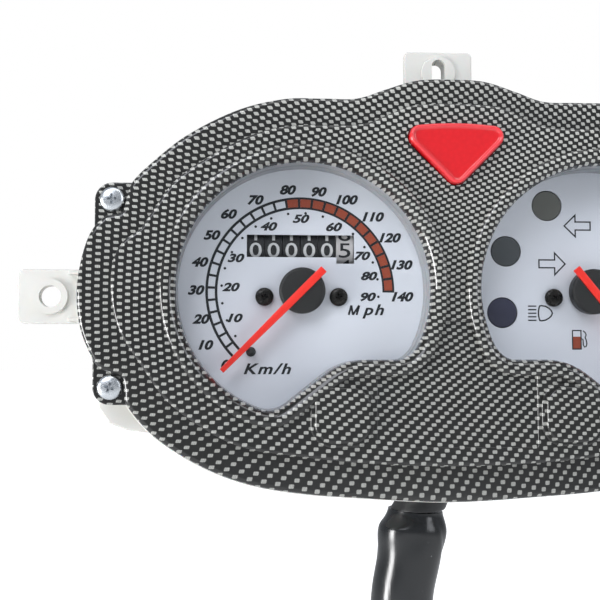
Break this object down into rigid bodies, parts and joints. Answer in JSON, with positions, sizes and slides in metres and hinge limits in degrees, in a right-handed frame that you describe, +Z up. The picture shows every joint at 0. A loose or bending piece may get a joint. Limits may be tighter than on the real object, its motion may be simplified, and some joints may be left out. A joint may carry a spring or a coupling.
{
  "type": "motorcycle instrument cluster",
  "caption": "Twin-dial scooter cluster: speedometer with odometer and fuel gauge under a printed black bezel, white tabbed rear housing, red warning lens and hanging wiring sleeve.",
  "frame": {"origin": "midway between the holes of the two side tabs, on the plane of the tabs' rear faces", "axes": "+X to the rider's right, +Y forwards away from the rider, +Z up; the dials face -Y"},
  "size_m": [0.304, 0.0788, 0.4136],
  "materials": {
    "white_abs": "moulded, light grain",
    "bezel_print": "checker print under clear lacquer",
    "black_rubber": "moulded",
    "red_lens": "polished acrylic",
    "clear_lens": "clear polycarbonate",
    "dial_print": "screen printed",
    "turn_filter": "smoked",
    "beam_filter": "dark blue",
    "pointer_red": "painted",
    "black_plastic": "satin moulded",
    "white_drum": "moulded",
    "zinc_plate": "zinc plated",
    "black_screw": "black zinc",
    "aluminium": "spun",
    "steel": "ground",
    "magnet": "sintered ferrite",
    "spring_bronze": "drawn wire",
    "nylon": "natural nylon",
    "grey_plastic": "moulded",
    "copper": "enamelled winding",
    "terminal_board": "laminate with brass studs",
    "black_vinyl": "glossy PVC sleeve",
    "wire_black": "PVC insulation"
  },
  "bodies": {
    "cluster": {"rear_housing": "white_abs", "speedometer_ring_wall": "white_abs", "fuel_ring_wall": "white_abs", "front_bezel": "bezel_print", "gasket": "black_rubber", "harness_boot": "black_rubber", "left_turn_lamp": "black_rubber", "right_turn_lamp": "black_rubber", "high_beam_lamp": "black_rubber", "speedometer_lamp": "black_rubber", "fuel_gauge_lamp": "black_rubber", "warning_lamp": "black_rubber", "warning_lens": "red_lens", "speedometer_lens": "clear_lens", "fuel_lens": "clear_lens", "speedometer_dial": "dial_print", "fuel_dial": "dial_print", "left_turn_filter": "turn_filter", "right_turn_filter": "turn_filter", "high_beam_filter": "beam_filter", "pointer_rest_pin": "black_plastic", "light_tubes": "black_plastic", "bezel_screw_left_upper": "zinc_plate", "bezel_screw_left_lower": "zinc_plate", "bezel_screw_right_upper": "zinc_plate", "bezel_screw_right_lower": "zinc_plate", "movement_bridge": "zinc_plate", "movement_plate": "zinc_plate", "movement_can": "zinc_plate", "cable_boss": "zinc_plate", "odometer_frame": "zinc_plate", "speedometer_dial_screw_left": "black_screw", "speedometer_dial_screw_right": "black_screw", "fuel_dial_screw_left": "black_screw", "fuel_dial_screw_right": "black_screw", "odometer_axle": "steel", "hairspring": "spring_bronze", "carry_pinion_shaft": "nylon", "harness_plug": "nylon", "fuel_gauge_can": "grey_plastic", "fuel_coil": "copper", "terminal_board": "terminal_board", "harness_sleeve": "black_vinyl", "wire_loom": "wire_black"},
    "speed_pointer": {"speedometer_needle": "pointer_red", "speedometer_hub": "black_plastic", "speed_cup_spindle": "aluminium"},
    "fuel_pointer": {"fuel_needle": "pointer_red", "fuel_hub": "black_plastic", "fuel_rotor_spindle": "magnet"},
    "cable_drive": {"drive_shaft": "steel", "drive_magnet": "magnet"},
    "cross_gear": {"cross_shaft": "nylon"},
    "transfer_gear": {"transfer_shaft": "nylon"},
    "drum_6": {"odometer_drum_6": "white_drum"},
    "drum_5": {"odometer_drum_5": "black_plastic"},
    "drum_4": {"odometer_drum_4": "black_plastic"},
    "drum_3": {"odometer_drum_3": "black_plastic"},
    "drum_2": {"odometer_drum_2": "black_plastic"},
    "drum_1": {"odometer_drum_1": "black_plastic"}
  },
  "joints": [
    {"name": "speed_pointer_turn", "type": "hinge", "parent": "cluster", "child": "speed_pointer", "pos_m": [-0.0515, -0.014, 0.0015], "axis": [0, 1, 0], "range_deg": [0, 225], "stiffness_Nm_per_rad": 0.00003, "springref_deg": -11.46},
    {"name": "fuel_pointer_turn", "type": "hinge", "parent": "cluster", "child": "fuel_pointer", "pos_m": [0.0515, -0.014, 0.0015], "axis": [0, -1, 0], "range_deg": [0, 96]},
    {"name": "drive_shaft_spin", "type": "hinge", "parent": "cluster", "child": "cable_drive", "pos_m": [-0.0515, 0.02, 0.0015], "axis": [0, 1, 0], "continuous": true},
    {"name": "cross_shaft_spin", "type": "hinge", "parent": "cluster", "child": "cross_gear", "pos_m": [-0.04, 0.022, 0.008], "axis": [1, 0, 0], "continuous": true},
    {"name": "transfer_shaft_spin", "type": "hinge", "parent": "cluster", "child": "transfer_gear", "pos_m": [-0.031, 0.022, 0.0275], "axis": [0, 1, 0], "continuous": true},
    {"name": "drum_6_spin", "type": "hinge", "parent": "cluster", "child": "drum_6", "pos_m": [-0.03605, -0.0026, 0.0174], "axis": [1, 0, 0], "continuous": true},
    {"name": "drum_5_spin", "type": "hinge", "parent": "cluster", "child": "drum_5", "pos_m": [-0.04235, -0.0026, 0.0174], "axis": [1, 0, 0], "continuous": true},
    {"name": "drum_4_spin", "type": "hinge", "parent": "cluster", "child": "drum_4", "pos_m": [-0.04865, -0.0026, 0.0174], "axis": [1, 0, 0], "continuous": true},
    {"name": "drum_3_spin", "type": "hinge", "parent": "cluster", "child": "drum_3", "pos_m": [-0.05495, -0.0026, 0.0174], "axis": [1, 0, 0], "continuous": true},
    {"name": "drum_2_spin", "type": "hinge", "parent": "cluster", "child": "drum_2", "pos_m": [-0.06125, -0.0026, 0.0174], "axis": [1, 0, 0], "continuous": true},
    {"name": "drum_1_spin", "type": "hinge", "parent": "cluster", "child": "drum_1", "pos_m": [-0.06755, -0.0026, 0.0174], "axis": [1, 0, 0], "continuous": true}
  ],
  "couplings": [
    {"joint": "cross_shaft_spin", "follows": "drive_shaft_spin", "ratio": 0.1},
    {"joint": "transfer_shaft_spin", "follows": "drive_shaft_spin", "ratio": 0.0035714},
    {"joint": "drum_6_spin", "follows": "drive_shaft_spin", "ratio": 0.00071429},
    {"joint": "drum_5_spin", "follows": "drive_shaft_spin", "ratio": 0.000071429},
    {"joint": "drum_4_spin", "follows": "drive_shaft_spin", "ratio": 0.0000071429},
    {"joint": "drum_3_spin", "follows": "drive_shaft_spin", "ratio": 0.00000071429},
    {"joint": "drum_2_spin", "follows": "drive_shaft_spin", "ratio": 0.000000071429},
    {"joint": "drum_1_spin", "follows": "drive_shaft_spin", "ratio": 0.0000000071429}
  ]
}
